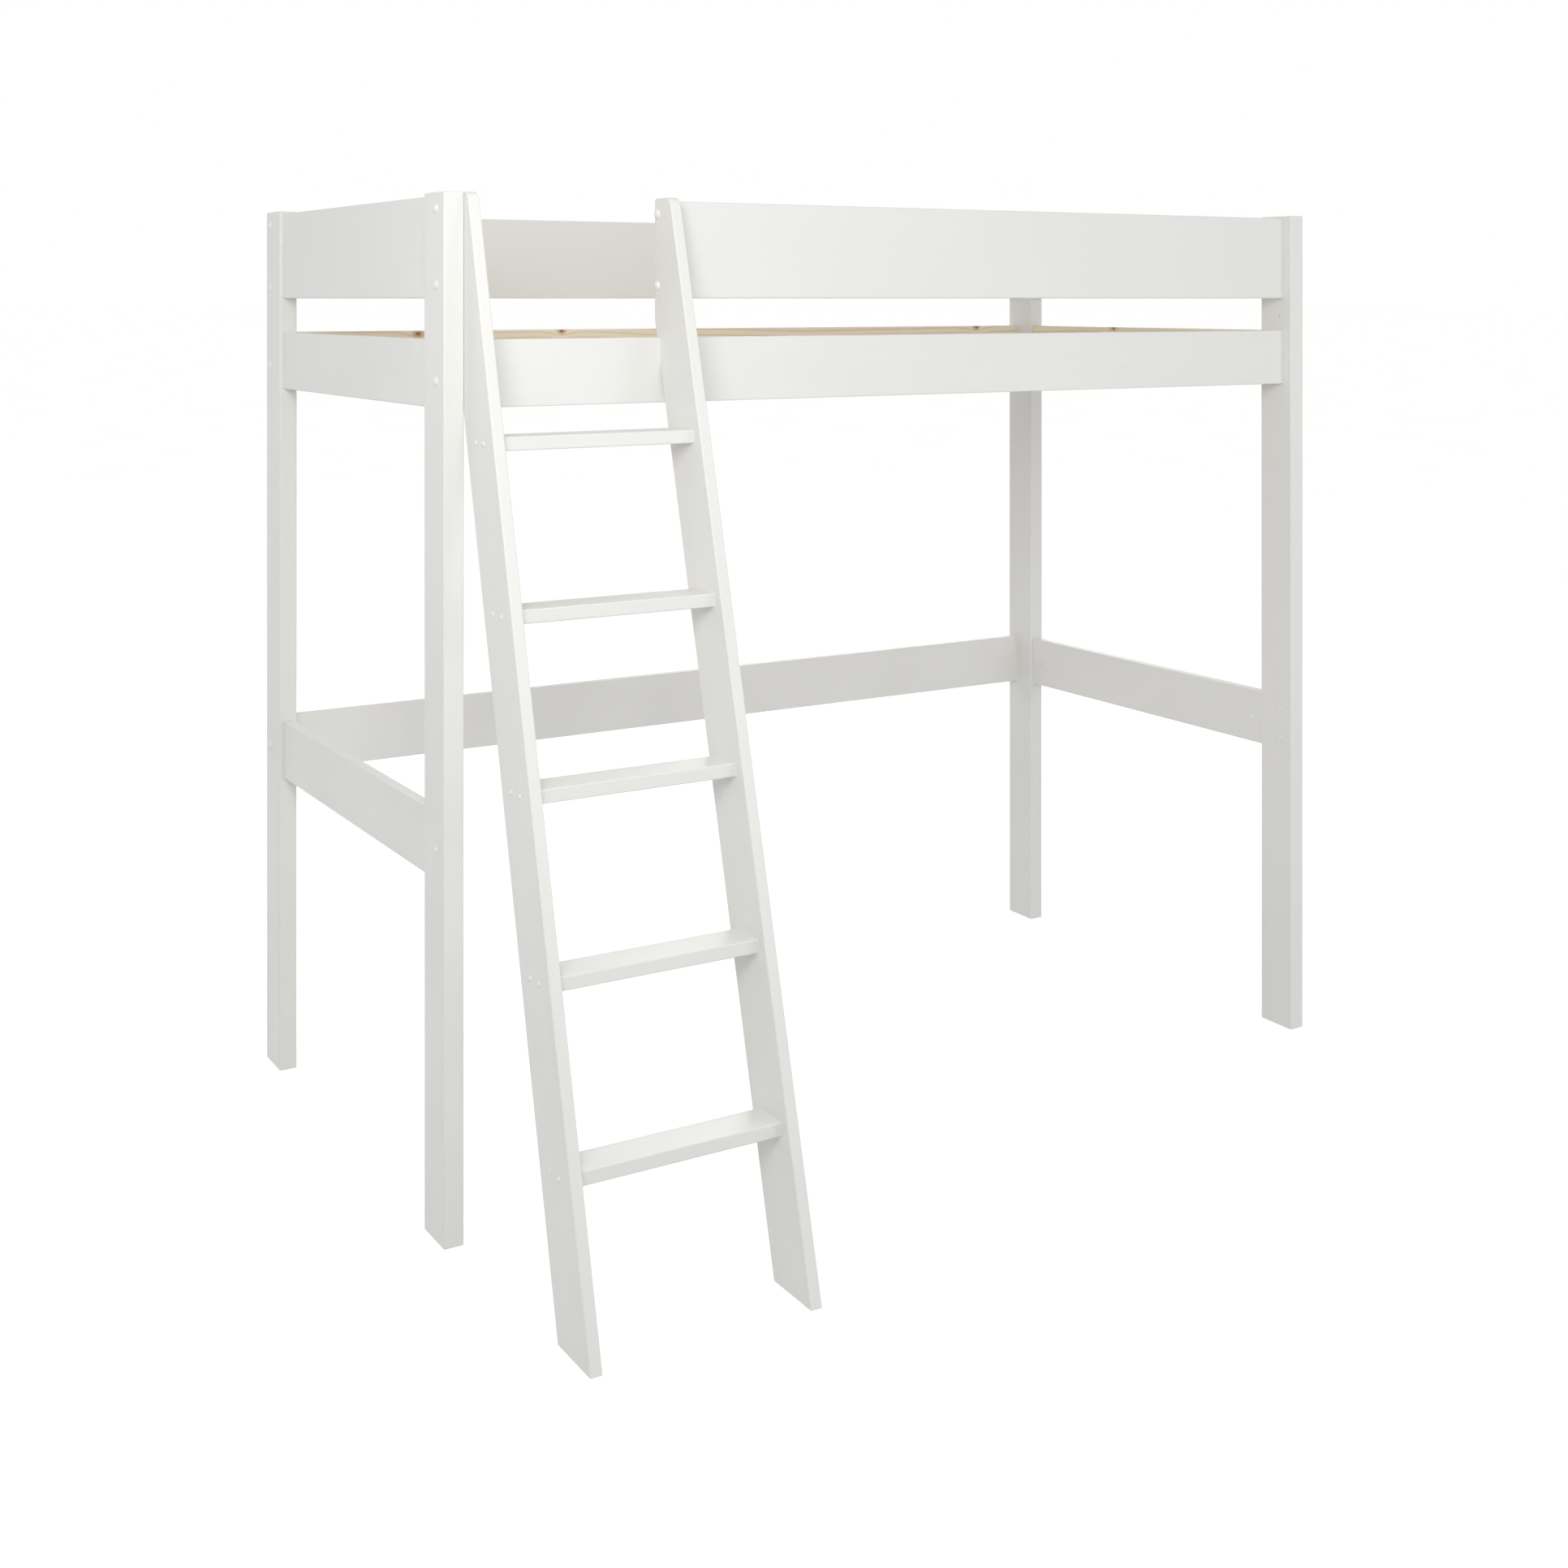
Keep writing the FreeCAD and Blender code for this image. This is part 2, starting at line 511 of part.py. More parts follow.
def make_slats():
    slat_y = FRONT_INNER + SLAT_SIDE_GAP
    slat_length = BACK_INNER - FRONT_INNER - 2 * SLAT_SIDE_GAP
    strap_lines = (("front", FRONT_INNER + STRAP_INSET), ("back", BACK_INNER - STRAP_INSET))
    bearer_lines = (("front", FRONT_INNER + BEARER_WIDTH / 2), ("back", BACK_INNER - BEARER_WIDTH / 2))
    for number in range(SLAT_COUNT):
        node = "slat_%02d" % (number + 1)
        x = SLAT_START + number * SLAT_PITCH
        add(node, board(x, slat_y, BEARER_TOP, SLAT_WIDTH, slat_length, SLAT_THICKNESS, BACK, BOARD_ROUNDING))
        middle = x + SLAT_WIDTH / 2
        for _, y in strap_lines:
            add("strap_staples", staple(middle, y))
        if number in (0, SLAT_COUNT - 1):
            for name, y in bearer_lines:
                head_face = point(middle, y, SLAT_TOP)
                reach = SLAT_THICKNESS + SCREW_BITE
                add("slat_screws", screw(head_face, DOWN, reach))
                drill([node, "slat_bearer_%s" % name], screw_hole(head_face, DOWN, reach))
    strap_length = MATTRESS_LENGTH - 2 * SLAT_END_GAP
    for name, y in strap_lines:
        start = point(SLAT_START, y - STRAP_WIDTH / 2, BEARER_TOP - STRAP_THICKNESS)
        add("slat_strap_%s" % name, Part.makeBox(strap_length, STRAP_WIDTH, STRAP_THICKNESS, start))


def staple(x, y):
    """The crown of a staple, across the strap under a slat; its legs are in the wood."""
    start = point(x - STAPLE_WIRE, y - STAPLE_LENGTH / 2, BEARER_TOP - STRAP_THICKNESS - STAPLE_WIRE)
    return Part.makeBox(2 * STAPLE_WIRE, STAPLE_LENGTH, STAPLE_WIRE, start)


# ---------------------------------------------------------------- export
def finished_solids(node):
    """The node's solids with all of its holes cut."""
    solids = pieces[node]
    if node not in holes:
        return solids
    cut = [solid.cut(holes[node]) for solid in solids]
    return [solid for shape in cut for solid in shape.Solids]


def export():
    os.makedirs("parts", exist_ok=True)
    shift = point(-LENGTH / 2, -(stringer_front(0) + WIDTH) / 2, 0)
    for node in pieces:
        solids = finished_solids(node)
        shape = Part.makeCompound(solids) if len(solids) > 1 else solids[0]
        shape.translate(shift)
        shape.exportStep("parts/%s.step" % node)


make_posts()
make_end_frames()
make_long_boards()
make_unused_holes()
make_ladder()
fix_ladder()
make_bearers()
make_slats()
export()
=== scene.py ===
"""The looks of the loft bed: white lacquered pine and board, bare pine inside, plastic caps.

Metres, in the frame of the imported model: X along the bed, Y from the ladder foot to the wall, Z up.
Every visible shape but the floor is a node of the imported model. This script gives each one its
finish and sets the floor, the lights and the camera.
"""

import json
import math

import bpy
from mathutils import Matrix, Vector


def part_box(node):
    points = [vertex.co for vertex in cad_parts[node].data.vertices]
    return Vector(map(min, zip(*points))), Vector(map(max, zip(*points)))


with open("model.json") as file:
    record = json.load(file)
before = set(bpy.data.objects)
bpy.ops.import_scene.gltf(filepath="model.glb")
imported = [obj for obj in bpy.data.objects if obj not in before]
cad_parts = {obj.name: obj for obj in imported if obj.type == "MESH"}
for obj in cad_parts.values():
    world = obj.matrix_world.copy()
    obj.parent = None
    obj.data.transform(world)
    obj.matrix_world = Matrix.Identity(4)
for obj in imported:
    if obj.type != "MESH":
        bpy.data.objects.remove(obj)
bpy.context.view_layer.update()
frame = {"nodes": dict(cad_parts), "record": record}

FULL_TURN = math.tau                      # one wave of a sine, in radians
AXES = "XYZ"

# Colours, linear
LACQUER = (0.775, 0.774, 0.757)
LACQUER_LOW = (0.715, 0.713, 0.692)
# The primer on the lacquer's rubbed edges. Being paler than the lacquer, it is also a painted highlight
# along them.
PRIMER_AND_EDGE_HIGHLIGHT = (0.810, 0.800, 0.770)
PINE = (0.860, 0.780, 0.640)
PINE_LATE = (0.700, 0.570, 0.400)
KNOT = (0.270, 0.110, 0.040)
KNOT_RING = (0.560, 0.330, 0.160)
BEECH = (0.560, 0.370, 0.210)
BEECH_LATE = (0.430, 0.260, 0.130)
PLASTIC = (0.800, 0.800, 0.790)
PLASTIC_LOW = (0.740, 0.740, 0.730)
ZINC = (0.560, 0.570, 0.580)
ZINC_LOW = (0.400, 0.405, 0.410)
TAPE = (0.760, 0.745, 0.690)
# The tape's worn edges, and the painted shade in the hollows of its weave.
TAPE_WORN_AND_SHADED = (0.560, 0.545, 0.490)
FLOOR = (0.900, 0.900, 0.895)
FLOOR_LOW = (0.880, 0.880, 0.875)

# Sizes in the finishes, in metres
# On the lacquer the rubbed edge is paler, so it is also a painted highlight.
EDGE_WIDTH = 0.0022                       # how far an edge's rub reaches
RING_PITCH = 0.016                        # between two year rings on a board's face
BARE_DEPTH = 0.0012                       # the unpainted skin of a rail's inner face
SPRAY_DEPTH = 0.0005                      # how far the paint's border wanders in and out
PAINT_FADE = 0.0006                       # how far it takes from paint to bare wood
SPANGLE_SIZE = 0.0016                     # between two crystals of the zinc
WEAVE_PITCH = 0.0022                      # between two threads of the tape
KNOT_SPACING = 0.42                       # between two knots of the slats, along the wood
KNOT_RADIUS = 0.009

# Streaks in the finishes, in metres: (length, width)
RING_WANDER_STREAK = (0.9, 0.11)
FIBRE_STREAK = (0.16, 0.0011)
TONE_STREAK = (1.4, 0.07)
FLECK_STREAK = (0.004, 0.0006)
GRAIN_STREAK = (0.22, 0.0034)
CATHEDRAL_STREAK = (0.55, 0.020)
FUZZ_STREAK = (0.003, 0.0004)

# Scales of the even noises, in waves per metre
RUB_SCALE = 55.0
CLOUD_SCALE = 3.2
SKIN_SCALE = 480.0
SPRAY_SCALE = 130.0
FLOW_SCALE = 90.0
SHEEN_SCALE = 800.0
PIT_SCALE = 1400.0
FLOOR_CLOUD_SCALE = 1.3
FLOOR_SPECK_SCALE = 240.0

# Depths of the reliefs, in metres
PINE_DEPTH = 0.00012
BEECH_DEPTH = 0.00008
GRAIN_DEPTH = 0.00016
SKIN_DEPTH = 0.000045
PLASTIC_DEPTH = 0.00001
STEEL_DEPTH = 0.00001
CASTING_DEPTH = 0.00003
WEAVE_DEPTH = 0.00025
FLOOR_DEPTH = 0.00005

# Roughness: (least, most)
PINE_ROUGH = (0.50, 0.66)
BEECH_ROUGH = (0.55, 0.70)
LACQUER_ROUGH = (0.40, 0.50)
PLASTIC_ROUGH = (0.18, 0.28)
STEEL_ROUGH = (0.28, 0.42)
CASTING_ROUGH = (0.43, 0.57)
TAPE_ROUGH = (0.75, 0.90)
FLOOR_ROUGH = (0.70, 0.80)

# How far each finish is rubbed to its worn colour along its edges. On the lacquer that paler colour is
# also a painted highlight.
PINE_WEAR = 0.25
BEECH_WEAR = 0.30
LACQUER_WEAR_AND_HIGHLIGHT = 0.25
PLASTIC_WEAR = 0.25
ZINC_WEAR = 0.50
TAPE_WEAR = 0.20

# Where an edge counts as rubbed, which on the lacquer is also a painted highlight: how alike its rounded
# and its true normal are
UNTOUCHED = 0.995
RUBBED = 0.90

# Wood
KNOT_SQUASH = 0.6                         # a knot's height over its length
KNOT_PUSH = 9.0                           # how far a knot shifts the rings, in radians
KNOT_REACH = -0.45                        # how that push dies away, per knot radius
RING_WANDER = 34.0                        # how far the rings drift, in radians
LATE_RELIEF = 0.4                         # how far late wood sinks, against the fibres
PANEL_GRAIN = 0.25                        # grain that shows through the lacquer on smooth board
TIMBER_GRAIN = 1.0                        # and on pine
CATHEDRAL_SHARE = 0.35                    # the broad arches' part in that grain
LADDER_TILT = math.radians(14.5)          # the grain of the ladder's sides leans with them
DIRECTED_SLOTS = ("painted_panel", "painted_pine", "raw_pine")

# Knots on the bare inner faces: (place along the board, height, half length), all in the frame
KNOTS = {
    "back_side_rail": [
        (-0.704, 1.5610, 0.0105),
        (-0.349, 1.5640, 0.0085),
        (0.235, 1.4990, 0.0085),
        (0.860, 1.5640, 0.0085),
    ],
    "end_rail_right": [(0.338, 1.5655, 0.0080), (-0.050, 1.5050, 0.0090)],
    "end_rail_left": [(0.180, 1.5250, 0.0100), (0.520, 1.4850, 0.0080)],
    "front_side_rail": [(-0.520, 1.5050, 0.0095), (0.110, 1.5400, 0.0110), (0.690, 1.4900, 0.0080)],
}

# The bare face of each rail: its axis, and whether it is the box's high side
BARE_FACES = {
    "front_side_rail": ("Y", True),
    "back_side_rail": ("Y", False),
    "end_rail_left": ("X", True),
    "end_rail_right": ("X", False),
}


# ---------------------------------------------------------------- node helpers
class Finish:
    """One material's node tree, with the few building blocks that the finishes share."""

    def __init__(self, name):
        self.material = bpy.data.materials.new(name)
        self.material.use_nodes = True
        self.tree = self.material.node_tree
        self.shader = self.tree.nodes["Principled BSDF"]
        self.place = self.new("ShaderNodeTexCoord").outputs["Object"]
        self.relief = None

    def new(self, kind, **properties):
        node = self.tree.nodes.new(kind)
        for key, value in properties.items():
            setattr(node, key, value)
        return node

    def feed(self, socket, value):
        """Links a socket, or sets its own value where the value is plain."""
        if isinstance(value, bpy.types.NodeSocket):
            self.tree.links.new(value, socket)
        elif isinstance(value, tuple) and socket.type == "RGBA":
            socket.default_value = (*value, 1.0)
        else:
            socket.default_value = value

    def math(self, operation, *values, clamp=False):
        node = self.new("ShaderNodeMath", operation=operation, use_clamp=clamp)
        for socket, value in zip(node.inputs, values):
            self.feed(socket, value)
        return node.outputs[0]

    def times(self, first, second):
        return self.math("MULTIPLY", first, second)

    def plus(self, first, second):
        return self.math("ADD", first, second)

    def split(self):
        """The place's three parts, as sockets named X, Y and Z."""
        parts = self.new("ShaderNodeSeparateXYZ")
        self.feed(parts.inputs[0], self.place)
        return parts.outputs

    def mapped(self, scale, tilt=0.0):
        """The place scaled per axis, after a turn about X."""
        turned = self.new("ShaderNodeMapping")
        self.feed(turned.inputs["Vector"], self.place)
        turned.inputs["Rotation"].default_value = (tilt, 0.0, 0.0)
        scaled = self.new("ShaderNodeVectorMath", operation="MULTIPLY")
        self.feed(scaled.inputs[0], turned.outputs[0])
        scaled.inputs[1].default_value = scale
        return scaled.outputs[0]

    def noise(self, place, scale=1.0, detail=3.0, roughness=0.55, distortion=0.0):
        node = self.new("ShaderNodeTexNoise")
        values = {
            "Vector": place,
            "Scale": scale,
            "Detail": detail,
            "Roughness": roughness,
            "Distortion": distortion,
        }
        for key, value in values.items():
            self.feed(node.inputs[key], value)
        return node.outputs["Fac"]

    def streaks(self, axis, size, tilt=0.0, **settings):
        """A noise that is long along one axis. The size is a streak's length and width."""
        return self.noise(self.mapped(along(axis, *size), tilt), **settings)

    def step(self, value, low, high, out_low=0.0, out_high=1.0):
        """A smooth step from out_low to out_high as the value goes from low to high."""
        node = self.new("ShaderNodeMapRange", interpolation_type="SMOOTHSTEP")
        for socket, given in zip(node.inputs, (value, low, high, out_low, out_high)):
            self.feed(socket, given)
        return node.outputs[0]

    def within(self, noise, limits=(0.0, 1.0)):
        """A noise, most of which lies about a half, spread between two limits."""
        return self.step(noise, 0.3, 0.7, *limits)

    def mix(self, factor, first, second):
        """A colour between two colours."""
        node = self.new("ShaderNodeMix", data_type="RGBA")
        colours = [socket for socket in node.inputs if socket.type == "RGBA"]
        self.feed(node.inputs["Factor"], factor)
        self.feed(colours[0], first)
        self.feed(colours[1], second)
        return next(socket for socket in node.outputs if socket.type == "RGBA")

    def blend(self, factor, first, second):
        """A number between two numbers."""
        node = self.new("ShaderNodeMix", data_type="FLOAT")
        numbers = [socket for socket in node.inputs if socket.name in "AB" and socket.type == "VALUE"]
        self.feed(node.inputs["Factor"], factor)
        self.feed(numbers[0], first)
        self.feed(numbers[1], second)
        return next(socket for socket in node.outputs if socket.type == "VALUE")

    def edges(self):
        """1 on the object's rounded edges and 0 on its flat faces, broken up by a fine noise."""
        soft = self.new("ShaderNodeBevel", samples=6)
        soft.inputs["Radius"].default_value = EDGE_WIDTH
        sharp = self.new("ShaderNodeNewGeometry").outputs["Normal"]
        likeness = self.new("ShaderNodeVectorMath", operation="DOT_PRODUCT")
        self.feed(likeness.inputs[0], soft.outputs[0])
        self.feed(likeness.inputs[1], sharp)
        rubbed = self.step(likeness.outputs["Value"], UNTOUCHED, RUBBED)
        broken = self.step(self.noise(self.place, RUB_SCALE), 0.35, 0.65, 0.35, 1.0)
        return self.times(rubbed, broken)

    def rubbed(self, colour, worn_colour, wear):
        """The colour, rubbed toward another one along the edges. On the lacquer that colour is paler, so
        it is a painted highlight as well as wear.
        """
        return self.mix(self.times(self.edges(), wear), colour, worn_colour)

    def bump(self, height, depth):
        """Adds a relief of the given depth, in metres, on top of the ones before it."""
        node = self.new("ShaderNodeBump")
        node.inputs["Distance"].default_value = depth
        self.feed(node.inputs["Height"], height)
        if self.relief is not None:
            self.feed(node.inputs["Normal"], self.relief)
        self.relief = node.outputs["Normal"]

    def done(self, colour, roughness, **values):
        """Wires the shader and returns the material. The values go straight on its sockets."""
        self.feed(self.shader.inputs["Base Color"], colour)
        self.feed(self.shader.inputs["Roughness"], roughness)
        if self.relief is not None:
            self.feed(self.shader.inputs["Normal"], self.relief)
        for key, value in values.items():
            self.feed(self.shader.inputs[key.replace("_", " ")], value)
        return self.material


def along(axis, length, width):
    """Scales for a texture that is long along one axis and narrow across it."""
    return tuple(1.0 / length if name == axis else 1.0 / width for name in AXES)


# ---------------------------------------------------------------- wood
def knot_distance(finish, axis, knots):
    """The distance to the nearest knot in knot radii, for knots placed on a board standing on edge."""
    parts = finish.split()
    nearest = None
    for middle, height, radius in knots:
        length = finish.math("SUBTRACT", parts[axis], middle)
        length = finish.math("DIVIDE", length, radius)
        rise = finish.math("SUBTRACT", parts["Z"], height)
        rise = finish.math("DIVIDE", rise, KNOT_SQUASH * radius)
        square = finish.plus(finish.times(length, length), finish.times(rise, rise))
        distance = finish.math("SQRT", square)
        nearest = distance if nearest is None else finish.math("MINIMUM", nearest, distance)
    return nearest


def scattered_knots(finish, axis):
    """The distance to the nearest of the knots strewn through the wood, in knot radii."""
    node = finish.new("ShaderNodeTexVoronoi", voronoi_dimensions="3D")
    scale = along(axis, KNOT_SPACING, KNOT_SQUASH * KNOT_SPACING)
    finish.feed(node.inputs["Vector"], finish.mapped(scale))
    node.inputs["Scale"].default_value = 1.0
    return finish.math("DIVIDE", node.outputs["Distance"], KNOT_RADIUS / KNOT_SPACING)


def pine(finish, axis, distance):
    """Bare pine: (colour, height, roughness) with year rings that flow round the knots."""
    parts = finish.split()
    across = [name for name in AXES if name != axis]
    wander = finish.streaks(axis, RING_WANDER_STREAK, detail=1.5)
    swell = finish.math("EXPONENT", finish.times(distance, KNOT_REACH))
    rings = finish.plus(parts[across[0]], parts[across[1]])
    rings = finish.times(rings, FULL_TURN / RING_PITCH)
    rings = finish.plus(rings, finish.times(wander, RING_WANDER))
    rings = finish.plus(rings, finish.times(swell, KNOT_PUSH))
    late_wood = finish.step(finish.math("SINE", rings), 0.15, 1.0)
    fibre = finish.streaks(axis, FIBRE_STREAK, roughness=0.6)
    tone = finish.streaks(axis, TONE_STREAK, detail=2.0)
    wood = finish.mix(finish.times(late_wood, finish.step(fibre, 0.25, 0.75, 0.45, 0.85)), PINE, PINE_LATE)
    wood = finish.mix(finish.step(tone, 0.35, 0.70, 0.0, 0.22), wood, PINE_LATE)
    wood = finish.mix(finish.step(distance, 1.9, 0.8, 0.0, 0.75), wood, KNOT_RING)
    wood = finish.mix(finish.step(distance, 0.85, 0.35, 0.0, 0.85), wood, KNOT)
    height = finish.math("SUBTRACT", fibre, finish.times(late_wood, LATE_RELIEF))
    return wood, height, finish.within(fibre, PINE_ROUGH)


def bare_pine(name, axis):
    """Planed, untreated softwood: the slats and their bearers."""
    finish = Finish(name)
    wood, height, roughness = pine(finish, axis, scattered_knots(finish, axis))
    finish.bump(height, PINE_DEPTH)
    wood = finish.rubbed(wood, PINE_LATE, PINE_WEAR)
    return finish.done(wood, roughness, Specular_IOR_Level=0.35)


def beech(name, axis):
    """Pale, short-flecked hardwood: the dowels."""
    finish = Finish(name)
    fleck = finish.streaks(axis, FLECK_STREAK, detail=2.0)
    wood = finish.mix(finish.step(fleck, 0.45, 0.70), BEECH, BEECH_LATE)
    finish.bump(fleck, BEECH_DEPTH)
    wood = finish.rubbed(wood, BEECH_LATE, BEECH_WEAR)
    return finish.done(wood, finish.within(fleck, BEECH_ROUGH))


# ---------------------------------------------------------------- lacquer
def lacquer(finish, axis, tilt, grain):
    """White satin lacquer: (colour, roughness). grain is how far the wood's grain shows through."""
    lines = finish.streaks(axis, GRAIN_STREAK, tilt, detail=4.0, roughness=0.62)
    cathedral = finish.streaks(axis, CATHEDRAL_STREAK, tilt, detail=2.0, distortion=0.6)
    cloud = finish.noise(finish.place, CLOUD_SCALE, detail=2.0)
    skin = finish.noise(finish.place, SKIN_SCALE, detail=2.0)
    fine = finish.times(finish.step(lines, 0.42, 0.95), grain)
    broad = finish.times(finish.step(cathedral, 0.5, 0.8), CATHEDRAL_SHARE * grain)
    sunk = finish.plus(fine, broad)
    shade = finish.plus(finish.times(sunk, 0.28), finish.within(cloud, (0.0, 0.16)))
    colour = finish.mix(shade, LACQUER, LACQUER_LOW)
    # The edges pale toward the primer: wear, and a painted highlight along the rounded edges.
    colour = finish.rubbed(colour, PRIMER_AND_EDGE_HIGHLIGHT, LACQUER_WEAR_AND_HIGHLIGHT)
    finish.bump(finish.times(sunk, -1.0), GRAIN_DEPTH)
    finish.bump(skin, SKIN_DEPTH)
    roughness = finish.plus(finish.within(cloud, LACQUER_ROUGH), finish.times(sunk, 0.10))
    return colour, roughness


def lacquered(name, axis, tilt, grain):
    """A board or timber that is white all round."""
    finish = Finish(name)
    colour, roughness = lacquer(finish, axis, tilt, grain)
    return finish.done(colour, roughness, Coat_Weight=0.05, Coat_Roughness=0.30)


def half_lacquered(name, node, axis):
    """A rail that is white outside and on its edges, with its inner face left bare."""
    finish = Finish(name)
    face, high = BARE_FACES[node]
    low_corner, high_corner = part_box(node)
    at = AXES.index(face)
    skin = high_corner[at] - BARE_DEPTH if high else low_corner[at] + BARE_DEPTH
    spray = finish.noise(finish.place, SPRAY_SCALE, detail=2.0)
    depth = finish.math("SUBTRACT", finish.split()[face], skin)
    depth = finish.times(depth, 1.0 if high else -1.0)
    depth = finish.plus(depth, finish.times(spray, SPRAY_DEPTH))
    bare = finish.step(depth, 0.0, PAINT_FADE)
    white, satin = lacquer(finish, axis, 0.0, TIMBER_GRAIN)
    wood, height, dull = pine(finish, axis, knot_distance(finish, axis, KNOTS[node]))
    finish.bump(finish.times(height, bare), PINE_DEPTH)
    return finish.done(finish.mix(bare, white, wood), finish.blend(bare, satin, dull))


# ---------------------------------------------------------------- plastic, metal, tape
def plastic(name):
    """Glossy white moulded plastic with a faint flow pattern."""
    finish = Finish(name)
    flow = finish.noise(finish.place, FLOW_SCALE, detail=2.0, distortion=1.2)
    sheen = finish.noise(finish.place, SHEEN_SCALE, detail=2.0)
    colour = finish.mix(finish.step(flow, 0.35, 0.70), PLASTIC, PLASTIC_LOW)
    colour = finish.rubbed(colour, PLASTIC_LOW, PLASTIC_WEAR)
    finish.bump(sheen, PLASTIC_DEPTH)
    roughness = finish.within(sheen, PLASTIC_ROUGH)
    return finish.done(colour, roughness, Coat_Weight=0.3, Coat_Roughness=0.12)


def zinc(name, rough, depth):
    """Zinc with its spangle: plated steel, or a casting, which is rougher and deeper pitted."""
    finish = Finish(name)
    spangle = finish.new("ShaderNodeTexVoronoi", voronoi_dimensions="3D")
    finish.feed(spangle.inputs["Vector"], finish.place)
    spangle.inputs["Scale"].default_value = 1.0 / SPANGLE_SIZE
    pits = finish.noise(finish.place, PIT_SCALE)
    colour = finish.mix(finish.step(spangle.outputs["Distance"], 0.1, 0.8), ZINC, ZINC_LOW)
    colour = finish.rubbed(colour, ZINC, ZINC_WEAR)
    finish.bump(pits, depth)
    return finish.done(colour, finish.within(pits, rough), Metallic=1.0)


def tape(name):
    """Flat woven tape that runs along X: threads over and under in both directions, with painted shade
    where they dip under.
    """
    finish = Finish(name)
    parts = finish.split()
    waves = [finish.times(parts[axis], FULL_TURN / WEAVE_PITCH) for axis in "XY"]
    warp, weft = [finish.math("SINE", wave) for wave in waves]
    weave = finish.times(warp, weft)
    fuzz = finish.streaks("X", FUZZ_STREAK)
    # Painted shade: darker where the weave dips under, broken up by the fuzz.
    shade = finish.math("MULTIPLY", finish.step(weave, -0.6, 0.6, 1.0, 0.2), fuzz, clamp=True)
    colour = finish.rubbed(finish.mix(shade, TAPE, TAPE_WORN_AND_SHADED), TAPE_WORN_AND_SHADED, TAPE_WEAR)
    finish.bump(weave, WEAVE_DEPTH)
    roughness = finish.within(fuzz, TAPE_ROUGH)
    return finish.done(colour, roughness, Sheen_Weight=0.25, Sheen_Roughness=0.5)


# ---------------------------------------------------------------- every node gets its finish
def long_axis(node):
    """The axis along which a node is longest."""
    low_corner, high_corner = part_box(node)
    extent = high_corner - low_corner
    return AXES[max(range(3), key=lambda at: extent[at])]


def finish_for(node, slot, made):
    """The material for a node. Nodes with the same finish and the same grain share one."""
    axis = long_axis(node)
    if slot == "painted_rail":
        return half_lacquered("white_lacquer_" + node, node, axis)
    tilt = LADDER_TILT if "stringer" in node else 0.0
    makers = {
        "painted_panel": (lacquered, axis, tilt, PANEL_GRAIN),
        "painted_pine": (lacquered, axis, tilt, TIMBER_GRAIN),
        "raw_pine": (bare_pine, axis),
        "dowel_beech": (beech, axis),
        "white_plastic": (plastic,),
        "zinc_casting": (zinc, CASTING_ROUGH, CASTING_DEPTH),
        "zinc_steel": (zinc, STEEL_ROUGH, STEEL_DEPTH),
        "webbing": (tape,),
    }
    key = slot
    if slot in DIRECTED_SLOTS:
        key += "_" + axis
        key += "_leaning" if tilt else ""
    if key not in made:
        maker, *settings = makers[slot]
        made[key] = maker(key, *settings)
    return made[key]


def dress_nodes():
    made = {}
    for part in frame["record"]["subparts"]:
        node = part["node"]
        mesh = frame["nodes"][node].data
        mesh.materials.clear()
        mesh.materials.append(finish_for(node, part["material_slot"], made))


# ---------------------------------------------------------------- floor, light, camera
FLOOR_HALF = 300.0                        # half its side, so that its far edge meets the horizon
FLOOR_DROP = 0.0004                       # it lies this far under the feet

CAMERA_PLACE = (-2.338, -3.395, 1.640)    # at the height of the guards' undersides
CAMERA_TURN = math.radians(-29.91)        # level, turned from +Y toward +X
CAMERA_LENS = 44.94                       # mm
SENSOR_WIDTH = 36.0                       # mm
CAMERA_SHIFT = (0.0543, -0.3097)          # the picture's centre lies right of and below the axis

SKY_SEEN = 1.00                           # what the camera sees behind the bed
SKY_LIGHT = 0.57                          # what lights the bed
FLOOR_POWER = 1.85                        # lights the floor alone, and casts no shadow
TOP_POWER = 0.35                          # a wide soft light straight above, on the bed alone
TOP_ANGLE = math.radians(40.0)
OVERHEAD = (0.0, 0.0, 1.0)
ORIGIN = (0.0, 0.0, 0.0)
WHITE = (1.0, 1.0, 1.0)
WARM_WHITE = (1.0, 0.992, 0.970)

# Softboxes: (where it stands, what it points at, its side in metres, its power, its colour)
SOFTBOXES = {
    "key": ((-2.0, -2.3, 2.35), (-0.5, -0.3, 2.2), 1.2, 41.0, WARM_WHITE),
    "fill": ((1.6, -3.2, 1.8), (0.9, 0.0, 1.2), 2.0, 12.0, WHITE),
    "left": ((-3.2, 2.2, 2.0), (-1.0, 0.4, 1.2), 1.6, 7.0, WHITE),
    "back": ((2.6, 3.4, 2.6), (0.2, 0.3, 1.0), 2.0, 30.0, WHITE),
}


def make_floor():
    """A pale floor that sends no diffuse light up to the bed."""
    mesh = bpy.data.meshes.new("floor")
    sides = [(-1, -1), (1, -1), (1, 1), (-1, 1)]
    corners = [(x * FLOOR_HALF, y * FLOOR_HALF, -FLOOR_DROP) for x, y in sides]
    mesh.from_pydata(corners, [], [(0, 1, 2, 3)])
    floor = bpy.data.objects.new("floor", mesh)
    bpy.context.scene.collection.objects.link(floor)
    finish = Finish("pale_floor")
    cloud = finish.noise(finish.place, FLOOR_CLOUD_SCALE)
    speck = finish.noise(finish.place, FLOOR_SPECK_SCALE, detail=2.0)
    finish.bump(speck, FLOOR_DEPTH)
    colour = finish.mix(finish.within(cloud), FLOOR, FLOOR_LOW)
    roughness = finish.within(speck, FLOOR_ROUGH)
    mesh.materials.append(finish.done(colour, roughness, Specular_IOR_Level=0.2))
    floor.visible_diffuse = False
    return floor


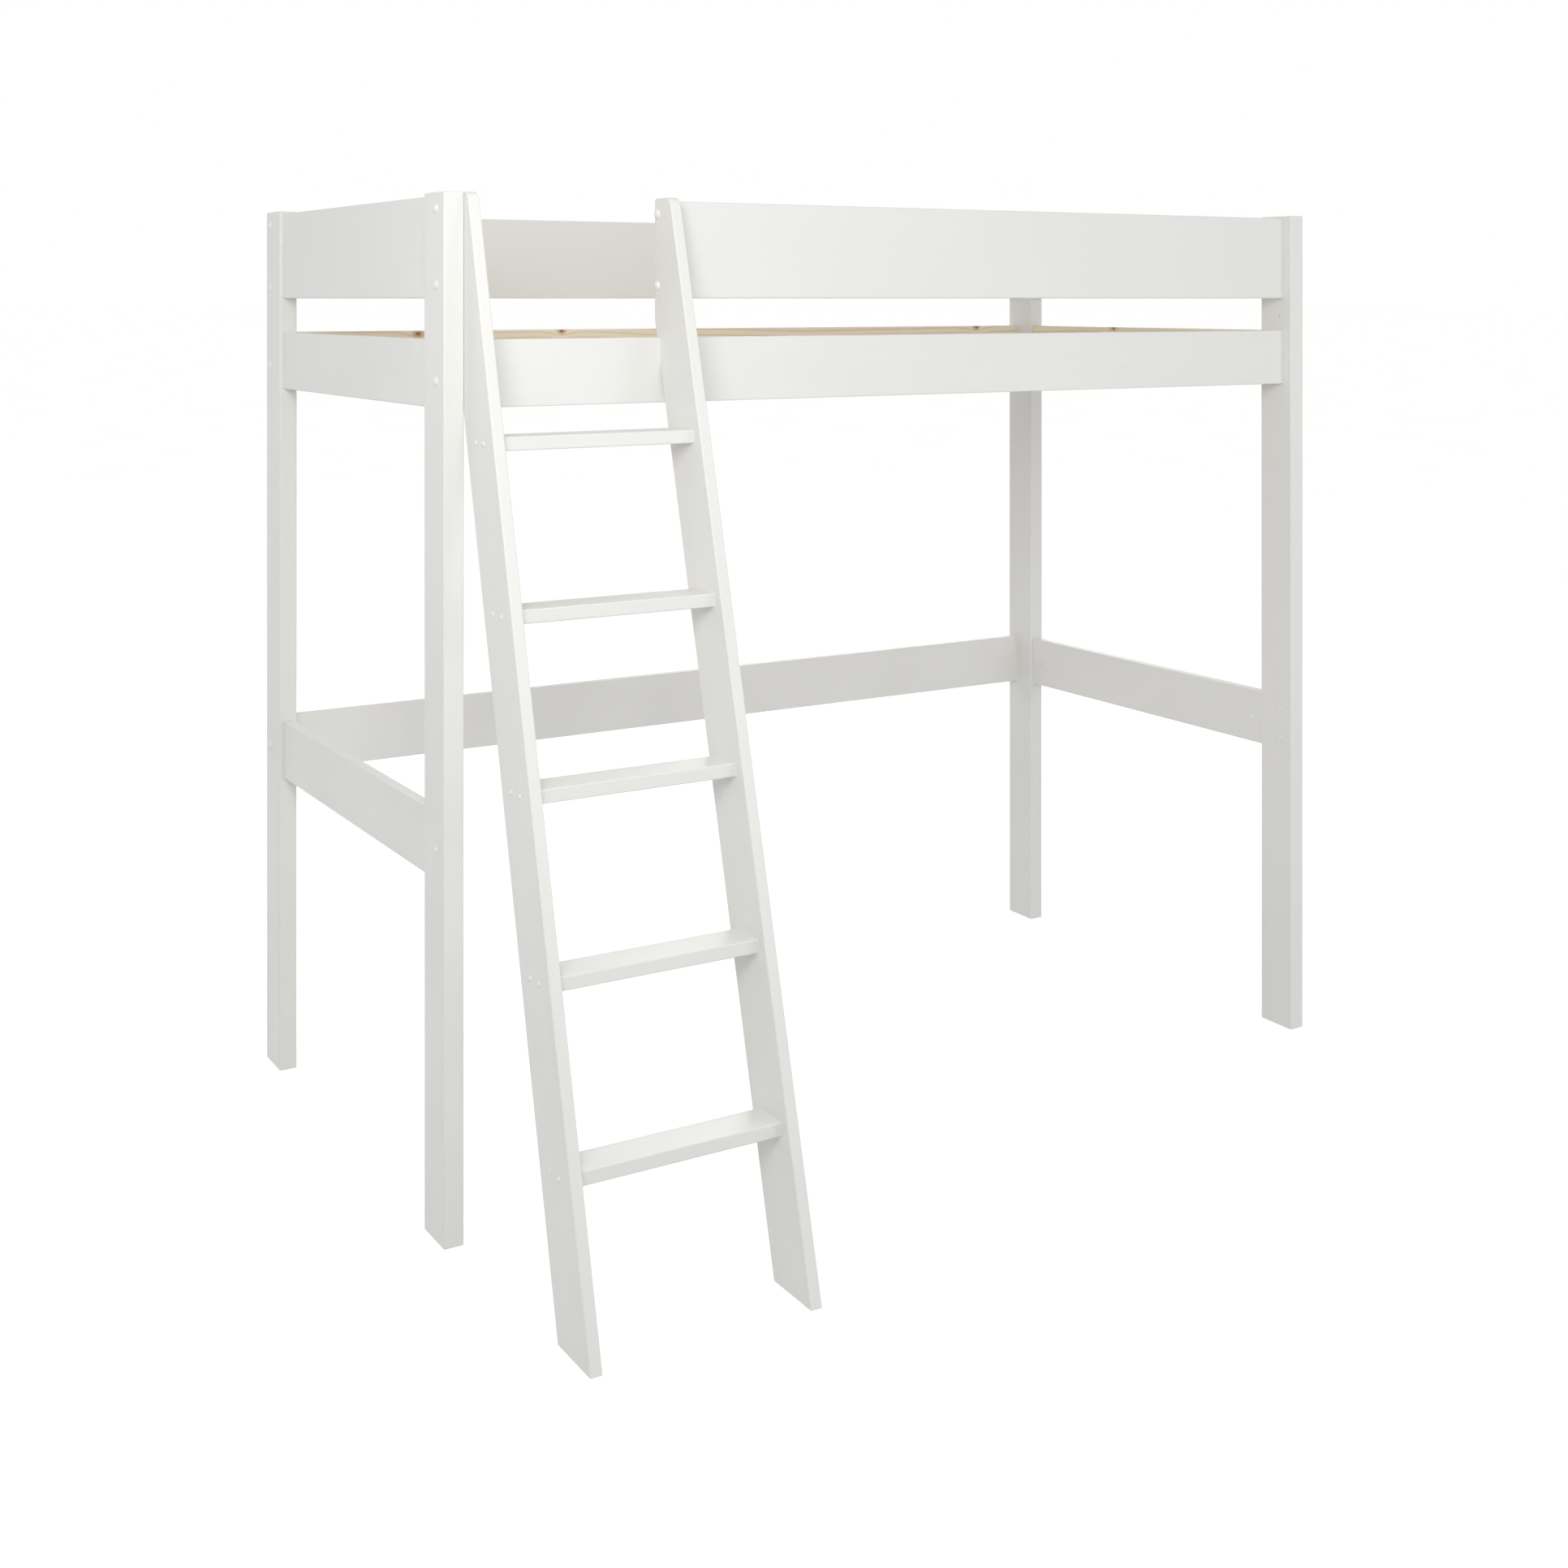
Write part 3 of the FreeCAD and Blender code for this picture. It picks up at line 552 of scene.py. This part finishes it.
def make_sky():
    """A studio that is bright to look at and gives a softer, dimmer light from all around."""
    world = bpy.data.worlds.new("soft_studio")
    world.use_nodes = True
    tree = world.node_tree
    sky = tree.nodes["Background"]
    seen = tree.nodes.new("ShaderNodeLightPath").outputs["Is Camera Ray"]
    strength = tree.nodes.new("ShaderNodeMapRange")
    strength.inputs["To Min"].default_value = SKY_LIGHT
    strength.inputs["To Max"].default_value = SKY_SEEN
    tree.links.new(seen, strength.inputs["Value"])
    tree.links.new(strength.outputs[0], sky.inputs["Strength"])
    sky.inputs["Color"].default_value = (*WHITE, 1.0)
    bpy.context.scene.world = world


def make_lamp(name, kind, power, place, target, only_on=()):
    """A lamp that the camera doesn't see. It lights everything, or only the given pieces."""
    light = bpy.data.lights.new(name, kind)
    light.energy = power
    lamp = bpy.data.objects.new(name, light)
    lamp.location = place
    lamp.rotation_mode = "QUATERNION"
    lamp.rotation_quaternion = (Vector(place) - Vector(target)).to_track_quat("Z", "Y")
    lamp.visible_camera = False
    bpy.context.scene.collection.objects.link(lamp)
    if only_on:
        lit = bpy.data.collections.new(name + "_lit")
        for piece in only_on:
            lit.objects.link(piece)
        lamp.light_linking.receiver_collection = lit
    return light


def make_lights(floor):
    for name, (place, target, side, power, colour) in SOFTBOXES.items():
        softbox = make_lamp(name + "_softbox", "AREA", power, place, target)
        softbox.size = side
        softbox.color = colour
    top = make_lamp("top_light", "SUN", TOP_POWER, OVERHEAD, ORIGIN, frame["nodes"].values())
    top.angle = TOP_ANGLE
    wash = make_lamp("floor_wash", "SUN", FLOOR_POWER, OVERHEAD, ORIGIN, [floor])
    wash.use_shadow = False


def make_camera():
    lens = bpy.data.cameras.new("camera")
    lens.sensor_width = SENSOR_WIDTH
    lens.lens = CAMERA_LENS
    lens.shift_x, lens.shift_y = CAMERA_SHIFT
    camera = bpy.data.objects.new("camera", lens)
    camera.location = CAMERA_PLACE
    camera.rotation_euler = (math.pi / 2, 0.0, CAMERA_TURN)
    bpy.context.scene.collection.objects.link(camera)
    bpy.context.scene.camera = camera


dress_nodes()
make_sky()
make_lights(make_floor())
make_camera()
bpy.context.scene.view_settings.view_transform = "Standard"
